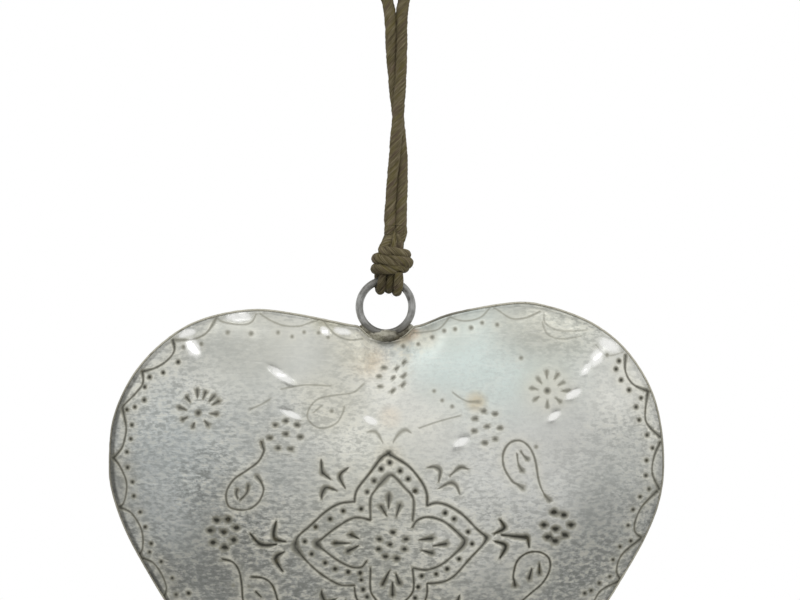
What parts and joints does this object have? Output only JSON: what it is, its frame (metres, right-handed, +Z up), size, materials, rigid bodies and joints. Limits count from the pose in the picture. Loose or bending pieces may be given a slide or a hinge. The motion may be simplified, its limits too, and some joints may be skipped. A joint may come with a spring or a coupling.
{
  "type": "iron heart ornament",
  "caption": "Puffed sheet-iron heart with a punched and engraved folk pattern, hung from a steel ring by a knotted loop of jute twine.",
  "frame": {"origin": "the point where a hook meets the inside of the loop's top", "axes": "+Z up along the hanging twine, front of the heart towards -Y, +X to the right in the picture"},
  "size_m": [0.19, 0.032, 0.3349],
  "materials": {
    "silver_washed_iron": "worn silver-white wash over hammered sheet iron, dark olive-brown patina in the punched lines",
    "dark_braze": "dull dark grey braze, worn lighter on its ridge",
    "worn_steel": "grey steel wire, worn smooth, with darker patches",
    "jute_twine": "olive-brown two-ply jute with loose fibres"
  },
  "bodies": {
    "loop": {"hanging_loop": "jute_twine"},
    "knot": {"cord_knot": "jute_twine", "ring_turns": "jute_twine"},
    "heart": {"front_shell": "silver_washed_iron", "back_shell": "silver_washed_iron", "rim_seam": "dark_braze", "hanging_ring": "worn_steel", "ring_braze": "dark_braze"}
  },
  "joints": [
    {"name": "cord_spin", "type": "hinge", "parent": "loop", "child": "knot", "pos_m": [0, 0, -0.12585], "axis": [0, 0, 1], "range_deg": [-180, 180]},
    {"name": "heart_swing", "type": "hinge", "parent": "knot", "child": "heart", "pos_m": [-0.0031, 0, -0.1445], "axis": [1, 0, 0], "range_deg": [-110, 110]}
  ]
}
